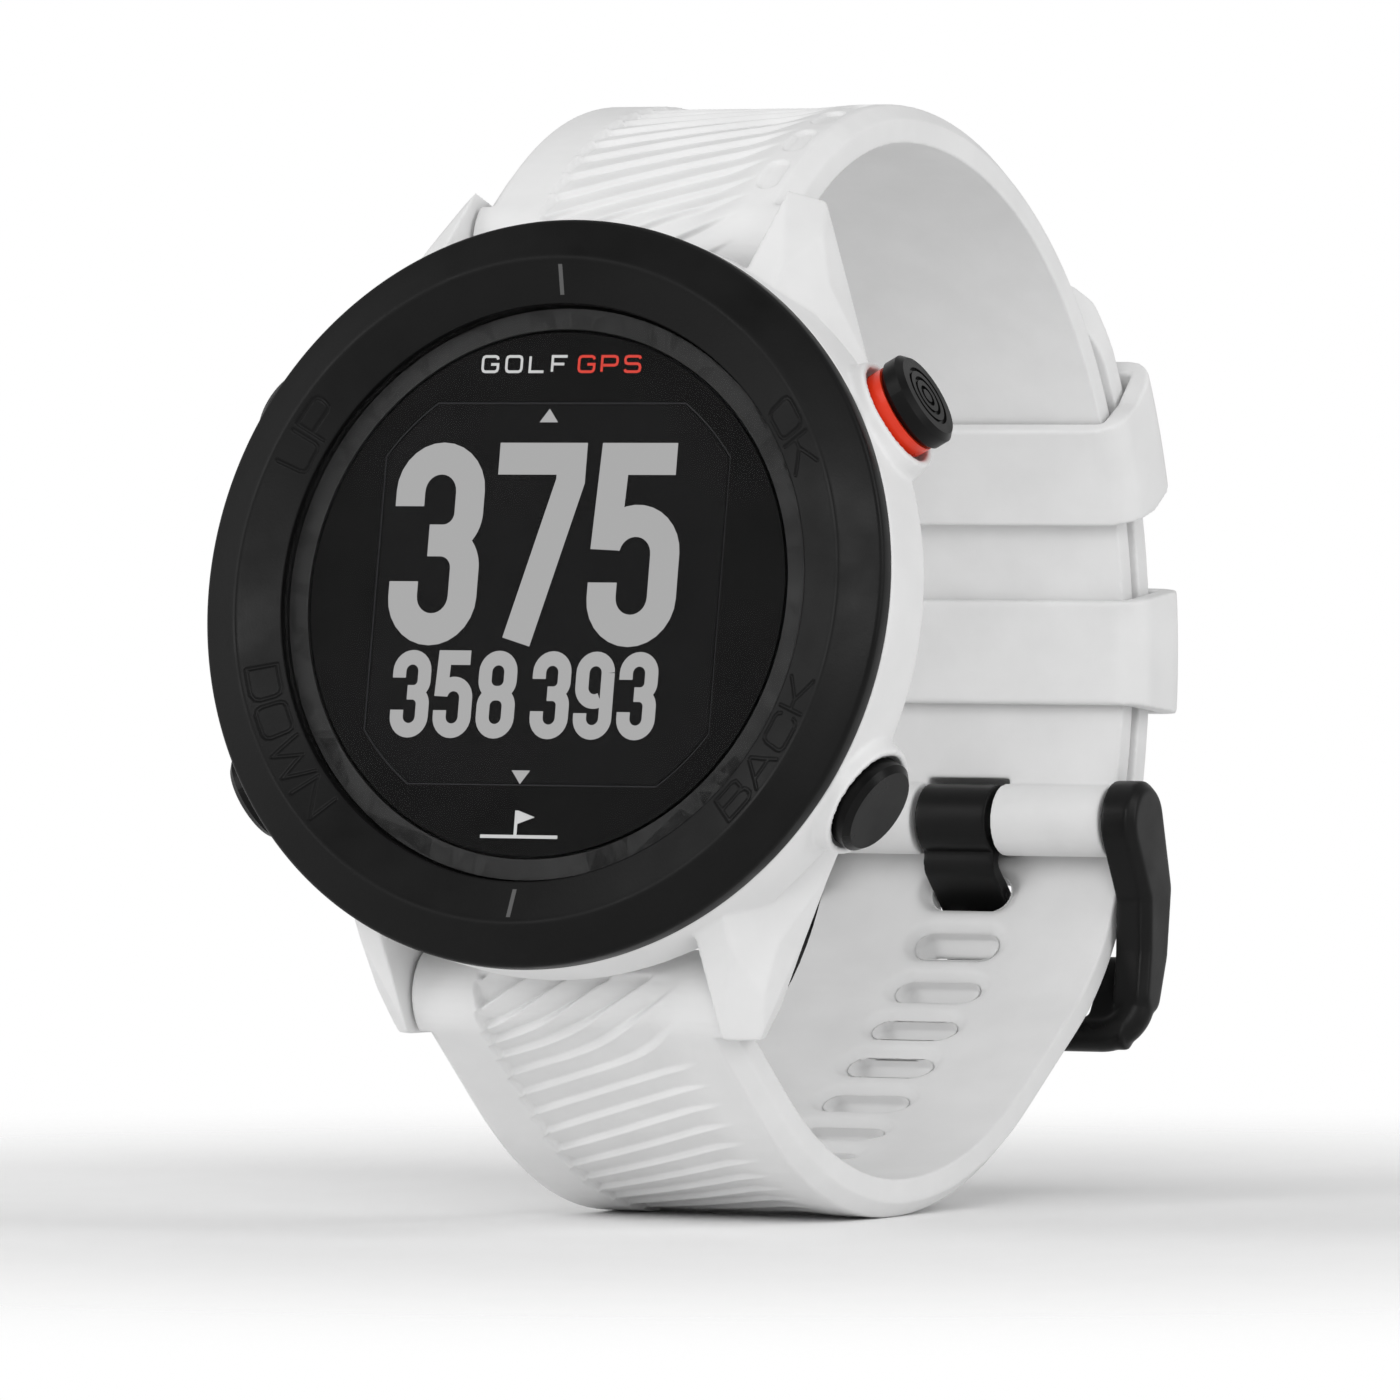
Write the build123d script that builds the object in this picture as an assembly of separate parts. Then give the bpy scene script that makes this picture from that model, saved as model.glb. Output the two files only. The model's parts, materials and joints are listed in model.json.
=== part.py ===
from build123d import *
from math import acos, atan2, cos, degrees, hypot, radians, sin
import os

os.makedirs("parts", exist_ok=True)

# Golf GPS watch, buckled and standing on its strap. Millimetres.
# Row frame: +Z up, the display looks along -Y and leans back, +X is its 3 o'clock side.
# Head frame: x to 3 o'clock, y to 12 o'clock, z out of the display, 0 at the bezel's front edge.

# ---- placing ----
LEAN = 10.0              # the display leans back from upright
HEAD_Y = -30.2           # centre of the bezel's front edge in the row frame
HEAD_Z = 37.3
LOOP_Y = HEAD_Y + 28.0   # centre of the strap loop
LOOP_Z = HEAD_Z - 4.4

# ---- case ----
CASE_R = 21.85           # 43.7 mm case
CASE_FRONT = -1.25       # the bezel sits here
TAPER_START = -5.6       # below this the side wall draws in
CASE_BACK = -9.4
CASE_BACK_R = 18.6
CAVITY_R = 19.6
CAVITY_BACK = -8.2
BACK_OPENING_R = 14.5
COVER_R = 17.6
COVER_BACK = -10.6       # outer face of the rear cover
SCREW_ANGLES = (45, 135, 225, 315)
SCREW_PITCH_R = 16.1
SCREW_R = 0.6
SCREW_HEAD_R = 1.1
SCREW_HEAD_T = 0.6
CONTACT_X = (-3.75, -1.25, 1.25, 3.75)
CONTACT_V = -8.0
CONTACT_R = 0.75

# ---- bezel, lens and display ----
RIDGE_R = 19.43
RIDGE_RISE = 0.88
LENS_R = 16.8
LENS_TOP = -0.05
LENS_THICK = 0.7
LEDGE_R = 15.4
GASKET_THICK = 0.2
SCREEN_R = 13.8          # lit window: a circle cut by four flats
SCREEN_FLAT = 11.2
PANEL_TOP = -0.92
PANEL_R = 15.0

# ---- buttons ----
BUTTONS = {"ok": 30.0, "back": -30.0, "up": 150.0, "down": 210.0}
BUTTON_W = -5.0          # height of the button axes on the case side
CAP_R = 2.85
CAP_THICK = {"ok": 1.5, "back": 1.5, "up": 1.25, "down": 1.25}
SPRING_T = 0.18
RING_T = 0.9             # coloured ring under the OK cap
CAP_FACE = {"ok": 24.7, "back": 23.5, "up": 23.3, "down": 23.3}
BOSS_FACE = {"ok": 22.6, "back": 22.6, "up": 22.3, "down": 22.3}
BOSS_R = 3.45            # rim of the raised seat round a button
BOSS_BASE_R = 4.6
BOSS_START = 18.0
RECESS_R = 3.05
RECESS_FLOOR = 21.3
STEM_R = 1.0
STEM_END = 18.6
BUSH_R = 1.6
BUSH_BORE_R = 1.05

# ---- lugs and spring bars ----
LUG_GAP = 10.2           # half the clear width between a pair of lugs
LUG_TIP = (24.9, -7.4)   # (v, w) of the pointed end
LUG_UNDERSIDE = ((24.3, -11.2), (22.2, -12.7), (18.6, -10.7))
LUG_PLAN = ((11.5, 26), (12.05, 24.1), (13.45, 19.2), (15.7, 14.5), (19.9, 8))  # (u, v) outer edge
BAR_V = 22.2             # spring bar axis in the head frame
BAR_W = -9.9
BAR_R = 0.75
BAR_BORE_R = 0.52
PLUNGER_R = 0.48
TIP_R = 0.4
TIP_REACH = 11.4
LEVER_X = -7.6
LEVER_TRAVEL = 1.3

# ---- strap ----
STRAP_HALF = 10.0        # 20 mm strap
STRAP_T = 2.3
STRAP_BEVEL = 0.9
LOOP_R = 32.9            # outer face of the inner layer, about the loop centre
LAYER_GAP = 0.1
BAR_ROLL_R = 2.85        # strap end around a spring bar
PIN_ROLL_R = 2.2         # strap end around the buckle pin
UPPER_LEAD_R = 24.0      # outer radius of the strap between a lug and the loop's circle
LOWER_LEAD_R = 27.5
CROSSOVER_START = 58.0   # degrees below the loop centre where the lower strap leaves the circle
CROSSOVER_R = 20.0
TIP_ANGLE = 42.0         # where the free end stops
TIP_CORNER_R = 6.0
SLOT_LENGTH = 5.6
SLOT_WIDTH = 2.0
SLOT_PITCH = 4.0
ENGAGED_SLOT_AT = 62.6   # along the lower strap from its spring bar
ENGAGED_SLOT_WIDTH = 2.5
SLOTS_BELOW = 8
SLOTS_ABOVE = 5

# ---- buckle and keepers ----
PIN_ANGLE = -19.5
PIN_R = 1.0
ARM_INNER = 10.3
ARM_OUTER = 12.5
ARM_BEVEL = 0.5
ARM_LINE = ((0, 0, 2.5), (1.75, -4.2, 1.95), (1.45, -8.0, 1.7), (0.75, -10.6, 1.4))  # (y, z, r) from the pin
FAR_BAR_ANGLE = -39.0
FAR_BAR_LOOP_R = 36.9
FAR_BAR_R = 1.1
FAR_BAR_CORNER = 1.9
WEB_INNER = 8.6          # a web fills each corner between an arm and the far bar
WEB_ANGLE = 7.0
WEB_HALF_T = 0.95
TANG_HALF = 2.35
TANG_T = 0.9
TANG_GAP = 0.3           # between the resting tang and the far bar
TANG_ROUTE = ((31.3, -24.9), (36.6, -27.6))  # (radius, angle) of the bends after the pin
TANG_NOTCH_HALF = 2.75
TANG_NOTCH = ((27.5, -14.6), (34.5, -14.6), (34.5, -26.0), (27.5, -26.0))  # (radius, angle)
KEEPER_GAP = 0.2
KEEPER_WALL = 1.1
KEEPER_SIDE = 1.4
KEEPER_CORNER_R = 2.0
KEEPER_SPAN = 12.2       # degrees of the loop, 7 mm
KEEPER_ANGLES = {"lower": 0.0, "upper": 21.4}

HEAD = Plane(
    origin=(0, HEAD_Y, HEAD_Z),
    x_dir=(1, 0, 0),
    z_dir=(0, -cos(radians(LEAN)), sin(radians(LEAN))),
)
SIDE = Plane.YZ          # sketches of the loop, drawn as (Y, Z)


def save(name, shape):
    export_step(shape, f"parts/{name}.step")


def on_head(shape):
    """Move a shape from the head frame to the row frame."""
    return HEAD.location * shape


def head_to_side(v, w):
    """(Y, Z) of a head-frame point on the middle plane."""
    point = HEAD.from_local_coords(Vector(0, v, w))
    return point.Y, point.Z


def loop_point(radius, angle):
    """(Y, Z) at a radius and angle about the loop centre."""
    return LOOP_Y + radius * cos(radians(angle)), LOOP_Z + radius * sin(radians(angle))


def turned(profile):
    """Solid of revolution from (radius, height) points in the head frame."""
    return revolve(Plane.XZ * make_face(Polyline(*profile, close=True)), Axis.Z)


def disc(radius, top, bottom):
    """Round plate between two heights."""
    return extrude(Pos(0, 0, bottom) * Circle(radius), top - bottom)


def ring(outer, inner, top, bottom):
    """Flat ring between two heights."""
    return extrude(Pos(0, 0, bottom) * (Circle(outer) - Circle(inner)), top - bottom)


def rod(x_from, x_to, radius, at):
    """Round bar along X at a (Y, Z) place."""
    return extrude(Plane((x_from, *at), z_dir=(1, 0, 0)) * Circle(radius), x_to - x_from)


def slab(face, half_width):
    """Extrude a (Y, Z) face to both sides of the middle plane."""
    return extrude(SIDE * face, half_width, both=True)


# ---- head ----
def radial(angle, start, profile_face, length):
    """Extrude a face outwards along a button axis; the face's y is towards 12 to 9 o'clock."""
    direction = (cos(radians(angle)), sin(radians(angle)), 0)
    origin = Vector(direction) * start + Vector(0, 0, BUTTON_W)
    return extrude(Plane(origin, x_dir=(0, 0, 1), z_dir=direction) * profile_face, length)


def lug():
    """The lug at 1:30: its side outline crossed with its plan, then cut by four facets."""
    side = Polyline(
        (11.5, CASE_FRONT), (17.5, CASE_FRONT), LUG_TIP, *LUG_UNDERSIDE,
        (15.0, CASE_BACK + 0.05), (11.5, CASE_BACK + 0.05), close=True,
    )
    plan = Polyline((LUG_GAP, 8), (LUG_GAP, 26), *LUG_PLAN, close=True)
    block = extrude(Plane.YZ * make_face(side), 21) & extrude(Pos(0, 0, -14) * make_face(plan), 13)
    front = facet_plane((LUG_GAP, *LUG_TIP), (LUG_GAP, 19.6, -2.95), (12.0, 19.85, -4.0))
    upper = facet_plane((10.25, 24.35, -6.9), (12.0, 19.85, -4.0), (12.05, 24.1, -9.1))
    lower = facet_plane((12.0, 19.85, -4.0), (12.9, 21.5, -7.9), (13.6, 18.85, -7.4))
    rear = facet_plane((12.05, 24.1, -9.1), (13.4, 19.2, -10.2), (11.3, 21.8, -12.9))
    for facet in (front, upper, lower):
        block = split(block, bisect_by=facet, keep=Keep.BOTTOM)
    return split(block, bisect_by=rear, keep=Keep.TOP)


def facet_plane(a, b, c):
    """Plane through three points, its normal towards the display."""
    a, b, c = Vector(a), Vector(b), Vector(c)
    normal = (b - a).cross(c - a).normalized()
    if normal.Z < 0:
        normal = -normal
    return Plane(a, x_dir=b - a, z_dir=normal)


def boss(name, angle):
    """Raised conical seat for one button, without its bore."""
    return loft(
        [
            radial_circle(angle, BOSS_START, BOSS_BASE_R),
            radial_circle(angle, BOSS_FACE[name], BOSS_R),
        ]
    )


def radial_circle(angle, distance, radius):
    """Circle across a button axis, in the head frame."""
    direction = (cos(radians(angle)), sin(radians(angle)), 0)
    origin = Vector(direction) * distance + Vector(0, 0, BUTTON_W)
    return Plane(origin, x_dir=(0, 0, 1), z_dir=direction) * Circle(radius)


def case_body():
    """Polymer case with four lugs and four button seats."""
    outside = turned(
        [
            (0, CASE_FRONT), (CASE_R, CASE_FRONT), (CASE_R, TAPER_START),
            (CASE_BACK_R, CASE_BACK), (0, CASE_BACK),
        ]
    )
    corner = lug()
    top_pair = corner + mirror(corner, Plane.YZ)
    outside += top_pair + mirror(top_pair, Plane.XZ)
    for name, angle in BUTTONS.items():
        outside += boss(name, angle)
    outside -= disc(30, 5, CASE_FRONT)
    outside -= disc(CAVITY_R, 1, CAVITY_BACK)
    outside -= disc(BACK_OPENING_R, 0, CASE_BACK - 1)
    for angle in BUTTONS.values():
        outside -= radial(angle, RECESS_FLOOR, Circle(RECESS_R), 6)
        outside -= radial(angle, 15, Circle(BUSH_R), 8)
    for angle in SCREW_ANGLES:
        outside -= Pos(*polar(SCREW_PITCH_R, angle), CASE_BACK - 1) * Cylinder(
            SCREW_R, 4, align=(Align.CENTER, Align.CENTER, Align.MIN)
        )
    for v in (BAR_V, -BAR_V):
        outside -= Pos(0, v, BAR_W) * Rot(0, 90, 0) * Cylinder(0.5, 2 * (TIP_REACH + 0.3))
    return outside


def polar(radius, angle):
    return radius * cos(radians(angle)), radius * sin(radians(angle))


def rear_cover():
    """Back plate with its plug, seal groove, screw seats and contact holes."""
    cover = turned(
        [
            (0, CAVITY_BACK - 0.1), (14.3, CAVITY_BACK - 0.1), (14.3, CASE_BACK),
            (COVER_R, CASE_BACK), (COVER_R, COVER_BACK + 0.5), (COVER_R - 0.7, COVER_BACK),
            (0, COVER_BACK),
        ]
    )
    cover -= ring(15, 13.8, -8.5, -9.1)
    for angle in SCREW_ANGLES:
        place = Pos(*polar(SCREW_PITCH_R, angle), 0)
        cover -= place * disc(SCREW_R, CASE_BACK + 1, COVER_BACK - 1)
        cover -= place * disc(SCREW_HEAD_R, COVER_BACK + SCREW_HEAD_T, COVER_BACK - 1)
    for x in CONTACT_X:
        cover -= Pos(x, CONTACT_V, 0) * disc(CONTACT_R, 0, COVER_BACK - 1)
    return cover


def rear_screws():
    """Four countersunk-style machine screws through the back plate."""
    screw = disc(SCREW_R, CAVITY_BACK - 0.3, COVER_BACK + 0.1) + disc(
        SCREW_HEAD_R, COVER_BACK + SCREW_HEAD_T, COVER_BACK + 0.05
    )
    screw -= Pos(0, 0, COVER_BACK) * Box(1.5, 0.3, 0.6)
    screw -= Pos(0, 0, COVER_BACK) * Box(0.3, 1.5, 0.6)
    return Compound([Pos(*polar(SCREW_PITCH_R, angle), 0) * screw for angle in SCREW_ANGLES])


def charging_contacts():
    """Four round gold pins, level with the back."""
    pin = disc(CONTACT_R, -7.95, COVER_BACK + 0.05)
    return Compound([Pos(x, CONTACT_V, 0) * pin for x in CONTACT_X])


def bezel_ring():
    """Ring with a raised ridge, an inner cone, the lens ledge and a locating skirt."""
    lens_seat = LENS_TOP - LENS_THICK - GASKET_THICK
    return turned(
        [
            (CASE_R, CASE_FRONT), (CASE_R, -0.2), (CASE_R - 0.2, 0), (RIDGE_R + 0.25, RIDGE_RISE - 0.05),
            (RIDGE_R, RIDGE_RISE), (RIDGE_R - 0.25, RIDGE_RISE - 0.07), (LENS_R + 0.07, 0),
            (LENS_R + 0.07, lens_seat), (LEDGE_R, lens_seat), (LEDGE_R, -1.75), (18.6, -1.75),
            (18.6, -3.2), (CAVITY_R - 0.05, -3.2), (CAVITY_R - 0.05, CASE_FRONT),
        ]
    )


def screen_outline(scale=1.0):
    """The window: a circle with its four sides cut flat."""
    return Circle(SCREEN_R * scale) & Rectangle(2 * SCREEN_FLAT * scale, 2 * SCREEN_FLAT * scale)


def lens():
    """Cover glass with a fine chamfer."""
    edge = 0.12
    bottom = LENS_TOP - LENS_THICK
    return turned(
        [(0, LENS_TOP), (LENS_R - edge, LENS_TOP), (LENS_R, LENS_TOP - edge), (LENS_R, bottom), (0, bottom)]
    )


def display_mask():
    """Black ink border behind the glass, open at the window."""
    top = LENS_TOP - LENS_THICK - 0.02
    return extrude(Pos(0, 0, top - 0.06) * (Circle(15.3) - screen_outline()), 0.06)


def display_panel():
    """Memory-in-pixel display module: window layer on a round glass carrier."""
    carrier = disc(PANEL_R, PANEL_TOP, -2.25)
    return carrier + extrude(Pos(0, 0, PANEL_TOP) * screen_outline(0.985), 0.05)


def chassis():
    """Inner frame: a cup that carries the display, the board and the battery."""
    cup = disc(17.6, -2.35, -7.9) - disc(16.6, -3.1, -9)
    cup -= Pos(0, -13.2, -2.6) * Box(9, 1.2, 2)
    return cup


def main_board():
    """Round circuit board with its shield cans and connectors."""
    board = disc(16.3, -3.4, -4.0)
    board += Pos(-5.5, 5, -4.3) * Box(8, 7, 0.8)
    board += Pos(6, 6, -4.3) * Box(6, 6, 0.8)
    board += Pos(0, -13, -3.3) * Box(8, 1.6, 0.3)
    return board


def gps_antenna():
    """Open ring antenna under the bezel, with a feed tab."""
    band = ring(18.3, 15.9, -1.85, -2.25)
    return band - Pos(0, -17, -2) * Box(8, 6, 2)


def battery():
    """Lithium polymer cell."""
    cell = Pos(0, -1, -6.2) * Box(21, 19, 2.9)
    return fillet(cell.edges().filter_by(Axis.Z), 1.5)


def buzzer():
    """Round sounder beside the cell."""
    return Pos(13.2, 0, 0) * disc(2.2, -4.2, -6.4)


# ---- buttons ----
def button_bushes():
    """Four brass sleeves in the case wall."""
    sleeve = Circle(BUSH_R) - Circle(BUSH_BORE_R)
    return Compound([radial(angle, 19.3, sleeve, RECESS_FLOOR - 19.3) for angle in BUTTONS.values()])


def button_springs():
    """Wave washers under the caps, at their pressed height."""
    washer = Circle(2.2) - Circle(1.25)
    return Compound([radial(angle, RECESS_FLOOR, washer, SPRING_T) for angle in BUTTONS.values()])


def switch_domes():
    """Four snap domes on the chassis wall, in line with the stems."""
    return Compound([radial(angle, 17.62, Circle(1.5), 0.35) for angle in BUTTONS.values()])


def button_cap(name):
    """Cap and stem; the OK cap stands prouder and carries turned grooves."""
    angle = BUTTONS[name]
    face = CAP_FACE[name]
    thick = CAP_THICK[name]
    cap = radial(angle, face - thick, Circle(CAP_R), thick)
    cap = chamfer(cap.edges().filter_by(GeomType.CIRCLE), 0.35)
    if name == "ok":
        for radius in (0.55, 1.15, 1.75):
            cap -= radial(angle, face - 0.15, Circle(radius + 0.12) - Circle(radius - 0.12), 1)
    cap += radial(angle, STEM_END, Circle(STEM_R), face - 0.5 - STEM_END)
    cap -= radial(angle, 20.2, Circle(2) - Circle(0.68), 0.4)
    cap -= radial(angle, 18.98, Circle(2) - Circle(0.8), 0.24)
    return cap


def button_seal(name):
    """O-ring on the stem."""
    seal = Torus(0.86, 0.17)
    direction = (cos(radians(BUTTONS[name])), sin(radians(BUTTONS[name])), 0)
    origin = Vector(direction) * 20.4 + Vector(0, 0, BUTTON_W)
    return Plane(origin, z_dir=direction).location * seal


def button_clip(name):
    """Retaining clip in the stem's inner groove."""
    washer = Circle(1.7) - Circle(0.8) - Pos(0, 1.4) * Rectangle(0.9, 2)
    return radial(BUTTONS[name], 19.0, washer, 0.2)


def ok_button_ring():
    """Coloured ring between the OK cap and the case."""
    start = CAP_FACE["ok"] - CAP_THICK["ok"] - RING_T
    return radial(BUTTONS["ok"], start, Circle(2.7) - Circle(STEM_R), RING_T)


# ---- strap paths ----
def lead_normal(bar, centre, radius):
    """Angle of the outward normal of the line tangent to the bar roll and to the lead arc."""
    dy = centre[0] - bar[0]
    dz = centre[1] - bar[1]
    spread = degrees(acos((radius - BAR_ROLL_R) / hypot(dy, dz)))
    length = hypot(dy, dz) * sin(radians(spread))
    return degrees(atan2(dz, dy)), spread, length


def rail(start, heading, steps, offset):
    """Tangent lines and arcs, `offset` to the left of a path. A step is (0, length) or (radius, turn)."""
    left = Vector(-sin(radians(heading)), cos(radians(heading)))
    point = Vector(*start) + left * offset
    edges = []
    for radius, amount in steps:
        direction = Vector(cos(radians(heading)), sin(radians(heading)))
        if radius == 0:
            edge = Line(point, point + direction * amount)
        else:
            side = offset if amount > 0 else -offset
            edge = JernArc(point, direction, radius - side, amount)
            heading += amount
        edges.append(edge)
        point = edge @ 1
    return edges


def band(start, heading, steps):
    """Face of constant strap thickness along a path."""
    left = rail(start, heading, steps, STRAP_T / 2)
    right = rail(start, heading, steps, -STRAP_T / 2)
    caps = [Line(left[0] @ 0, right[0] @ 0), Line(left[-1] @ 1, right[-1] @ 1)]
    return make_face([*left, *right, *caps])


def upper_path():
    """Start, heading and steps of the 12 o'clock strap, lug to buckle."""
    bar = head_to_side(BAR_V, BAR_W)
    centre = (LOOP_Y, LOOP_Z + LOOP_R - UPPER_LEAD_R)
    base, spread, length = lead_normal(bar, centre, UPPER_LEAD_R)
    normal = base + 180 - spread
    inset = BAR_ROLL_R - STRAP_T / 2
    start = (bar[0] + inset * cos(radians(normal)), bar[1] + inset * sin(radians(normal)))
    steps = [
        (0, length),
        (UPPER_LEAD_R - STRAP_T / 2, 90 - normal),
        (LOOP_R - STRAP_T / 2, PIN_ANGLE - 90),
    ]
    return start, normal - 90, steps


def lower_path():
    """Start, heading and steps of the 6 o'clock strap, lug to free tip."""
    bar = head_to_side(-BAR_V, BAR_W)
    centre = (LOOP_Y, LOOP_Z - LOOP_R + LOWER_LEAD_R)
    base, spread, length = lead_normal(bar, centre, LOWER_LEAD_R)
    normal = base - 180 + spread
    inset = BAR_ROLL_R - STRAP_T / 2
    start = (bar[0] + inset * cos(radians(normal)), bar[1] + inset * sin(radians(normal)))
    outer_layer_r = LOOP_R + LAYER_GAP + STRAP_T
    swing = degrees(acos((LOOP_R - CROSSOVER_R) / (outer_layer_r - CROSSOVER_R)))
    steps = [
        (0, length),
        (LOWER_LEAD_R - STRAP_T / 2, -90 - normal),
        (LOOP_R - STRAP_T / 2, 90 - CROSSOVER_START),
        (0, (outer_layer_r - CROSSOVER_R) * sin(radians(swing))),
        (CROSSOVER_R - STRAP_T / 2, swing),
        (outer_layer_r - STRAP_T / 2, TIP_ANGLE + CROSSOVER_START - swing),
    ]
    return start, normal + 90, steps


def bar_end(bar):
    """Roll of strap around a spring bar."""
    return Pos(*bar) * Circle(BAR_ROLL_R)


def lever_direction(bar):
    """Unit (Y, Z) vector from a spring bar towards the wrist."""
    dy = LOOP_Y - bar[0]
    dz = LOOP_Z - bar[1]
    return dy / hypot(dy, dz), dz / hypot(dy, dz)


def lever_plane(bar, x, distance):
    """Plane across the lever's stem, its normal towards the wrist."""
    dy, dz = lever_direction(bar)
    return Plane((x, bar[0] + dy * distance, bar[1] + dz * distance), x_dir=(1, 0, 0), z_dir=(0, dy, dz))


def lever_pocket(bar):
    """Opening in the strap's wrist side for the quick-release lever."""
    pocket_centre = LEVER_X + LEVER_TRAVEL / 2
    return extrude(lever_plane(bar, pocket_centre, 0.3) * Rectangle(4.4, 2.4), 6)


def bevelled(strap, path, side):
    """Bevel both long edges of the strap's outer face, which is left (1) or right (-1) of the path."""
    outer = SIDE * Wire(rail(*path, side * STRAP_T / 2))
    inner_x = STRAP_HALF - STRAP_BEVEL
    wedge = make_face(
        Polyline(
            (inner_x, 0), (STRAP_HALF, side * STRAP_BEVEL), (STRAP_HALF + 0.5, side * STRAP_BEVEL),
            (STRAP_HALF + 0.5, -side), (inner_x, -side), close=True,
        )
    )
    across = Plane(outer @ 0, x_dir=(1, 0, 0), z_dir=outer % 0)
    cut = sweep(across * wedge, path=outer)
    return strap - cut - mirror(cut, Plane.YZ)


def upper_strap():
    """Strap at 12 o'clock; it ends in the roll that holds the buckle pin."""
    start, heading, steps = upper_path()
    bar = head_to_side(BAR_V, BAR_W)
    pin = loop_point(LOOP_R - PIN_ROLL_R, PIN_ANGLE)
    strap = slab(band(start, heading, steps) + bar_end(bar) + Pos(*pin) * Circle(PIN_ROLL_R), STRAP_HALF)
    strap = bevelled(strap, (start, heading, steps), 1)
    strap -= rod(-12, 12, BAR_R + 0.05, bar)
    strap -= lever_pocket(bar)
    strap -= rod(-12, 12, PIN_R + 0.05, pin)
    notch = make_face(Polyline(*[loop_point(r, a) for r, a in TANG_NOTCH], close=True))
    return strap - slab(notch, TANG_NOTCH_HALF)


def path_planes(path, distances):
    """Planes across the strap's thickness at distances along its middle line."""
    line = Wire(rail(*path, 0))
    planes = []
    for distance in distances:
        at = line.position_at(distance, position_mode=PositionMode.LENGTH)
        along = line.tangent_at(distance, position_mode=PositionMode.LENGTH)
        planes.append(Plane((0, at.X, at.Y), x_dir=(1, 0, 0), z_dir=(0, along.Y, -along.X)))
    return planes


def lower_strap():
    """Strap at 6 o'clock with its adjustment slots and rounded free tip."""
    path = lower_path()
    bar = head_to_side(-BAR_V, BAR_W)
    strap = slab(band(*path) + bar_end(bar), STRAP_HALF)
    tip = Vector(0, *loop_point(LOOP_R + LAYER_GAP + STRAP_T / 2, TIP_ANGLE))
    corners = [
        edge for edge in strap.edges().filter_by(GeomType.LINE)
        if (edge.center() - tip).length < STRAP_HALF + 0.5 and abs(edge.length - STRAP_T) < 0.01
    ]
    strap = bevelled(fillet(corners, TIP_CORNER_R), path, -1)
    strap -= rod(-12, 12, BAR_R + 0.05, bar)
    strap -= lever_pocket(bar)
    steps = range(-SLOTS_BELOW, SLOTS_ABOVE + 1)
    for step, plane in zip(steps, path_planes(path, [ENGAGED_SLOT_AT + SLOT_PITCH * k for k in steps])):
        width = ENGAGED_SLOT_WIDTH if step == 0 else SLOT_WIDTH
        strap -= extrude(plane * SlotOverall(SLOT_LENGTH, width), 2, both=True)
    return strap


# ---- spring bars ----
def spring_bar(side):
    """Steel tube with a fixed tip, a closed end and a slot for the lever."""
    bar = head_to_side(side * BAR_V, BAR_W)
    tube = rod(-9.9, 9.9, BAR_R, bar) - rod(-9.6, 9.0, BAR_BORE_R, bar)
    tube -= rod(-11, -9, TIP_R + 0.04, bar)
    tube += rod(9.8, TIP_REACH, TIP_R, bar)
    slot_centre = LEVER_X + LEVER_TRAVEL / 2
    return tube - extrude(lever_plane(bar, slot_centre, 0) * Rectangle(LEVER_TRAVEL + 1.0, 0.85), 2)


def bar_plunger(side):
    """Retracting tip with its quick-release lever."""
    bar = head_to_side(side * BAR_V, BAR_W)
    plunger = rod(-TIP_REACH, -9.4, TIP_R, bar) + rod(-9.55, -4.5, PLUNGER_R, bar)
    stem = extrude(lever_plane(bar, LEVER_X, 0) * Circle(0.35), 3.3)
    knob = extrude(lever_plane(bar, LEVER_X, 2.9) * Circle(0.85), 0.9)
    return plunger + stem + knob


def bar_spring(side):
    """Close-wound spring behind the plunger, at its compressed length."""
    bar = head_to_side(side * BAR_V, BAR_W)
    turns = 12
    wire = 0.4
    outer = 0.45
    points = [(0.22, 0)]
    for turn in range(turns):
        points += [(outer - 0.1, turn * wire), (outer, (turn + 0.5) * wire)]
    points += [(outer - 0.1, turns * wire), (0.22, turns * wire)]
    coil = revolve(Plane.XZ * make_face(Polyline(*points, close=True)), Axis.Z)
    return Plane((-3.1, *bar), z_dir=(1, 0, 0)).location * coil


# ---- keepers and buckle ----
def keeper(name):
    """Closed loop round both strap layers, curved like the loop so that it slides."""
    inner_r = LOOP_R - STRAP_T - KEEPER_GAP
    outer_r = LOOP_R + LAYER_GAP + STRAP_T + KEEPER_GAP
    half = STRAP_HALF + KEEPER_GAP
    hole = Rectangle(outer_r - inner_r, 2 * half)
    wall = RectangleRounded(outer_r - inner_r + 2 * KEEPER_WALL, 2 * (half + KEEPER_SIDE), KEEPER_CORNER_R)
    section = Pos((inner_r + outer_r) / 2, 0) * (wall - hole)
    angle = KEEPER_ANGLES[name] - KEEPER_SPAN / 2
    dy, dz = cos(radians(angle)), sin(radians(angle))
    plane = Plane((0, LOOP_Y, LOOP_Z), x_dir=(0, dy, dz), z_dir=(0, dz, -dy))
    return revolve(plane * section, Axis((0, LOOP_Y, LOOP_Z), (1, 0, 0)), revolution_arc=KEEPER_SPAN)


def buckle_pin():
    """Steel pin through the strap roll, the tang and both arms."""
    pin = loop_point(LOOP_R - PIN_ROLL_R, PIN_ANGLE)
    return rod(-ARM_OUTER + 0.3, ARM_OUTER - 0.3, PIN_R, pin)


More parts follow.
